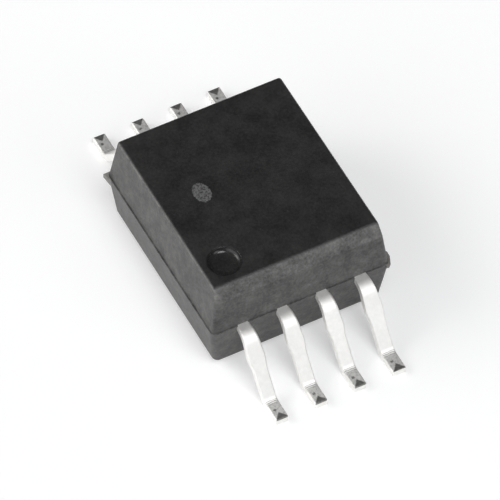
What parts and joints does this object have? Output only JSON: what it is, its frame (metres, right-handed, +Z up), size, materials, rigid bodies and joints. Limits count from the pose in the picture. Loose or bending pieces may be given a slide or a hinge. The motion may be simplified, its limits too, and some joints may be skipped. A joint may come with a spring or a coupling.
{
  "type": "soic chip",
  "caption": "Black moulded surface-mount chip with gull-wing leads on two sides, a bevelled edge and a round recess at pin 1; passes a signal across an optical gap.",
  "frame": {"origin": "centre of the footprint, on the board surface under the feet", "axes": "+X along the pin rows, from pin 1 to pin 4; +Y across them, from the row of pins 1 to 4 to the row of pins 5 to 8; +Z up from the board"},
  "size_m": [0.006, 0.0116, 0.0034],
  "materials": {
    "mould_compound": "matte black epoxy moulding compound with a fine spark-eroded texture",
    "tinned_lead": "copper alloy with a satin tin plating",
    "silicon": "polished silicon with a fine circuit pattern",
    "led_crystal": "polished crystal",
    "die_glue": "silver-filled epoxy, matte",
    "clear_silicone": "clear soft silicone, smooth",
    "gold_wire": "drawn gold, bright"
  },
  "bodies": {
    "root": {"mould_body": "mould_compound", "lead_1": "tinned_lead", "lead_2": "tinned_lead", "lead_3": "tinned_lead", "lead_4": "tinned_lead", "lead_5": "tinned_lead", "lead_6": "tinned_lead", "lead_7": "tinned_lead", "lead_8": "tinned_lead", "input_circuit": "silicon", "led": "led_crystal", "detector_circuit": "silicon", "input_glue": "die_glue", "led_glue": "die_glue", "detector_glue": "die_glue", "light_guide": "clear_silicone", "wire_input_supply": "gold_wire", "wire_input_plus": "gold_wire", "wire_input_minus": "gold_wire", "wire_input_ground": "gold_wire", "wire_led": "gold_wire", "wire_output_supply": "gold_wire", "wire_output_plus": "gold_wire", "wire_output_minus": "gold_wire", "wire_output_ground": "gold_wire"}
  },
  "joints": []
}
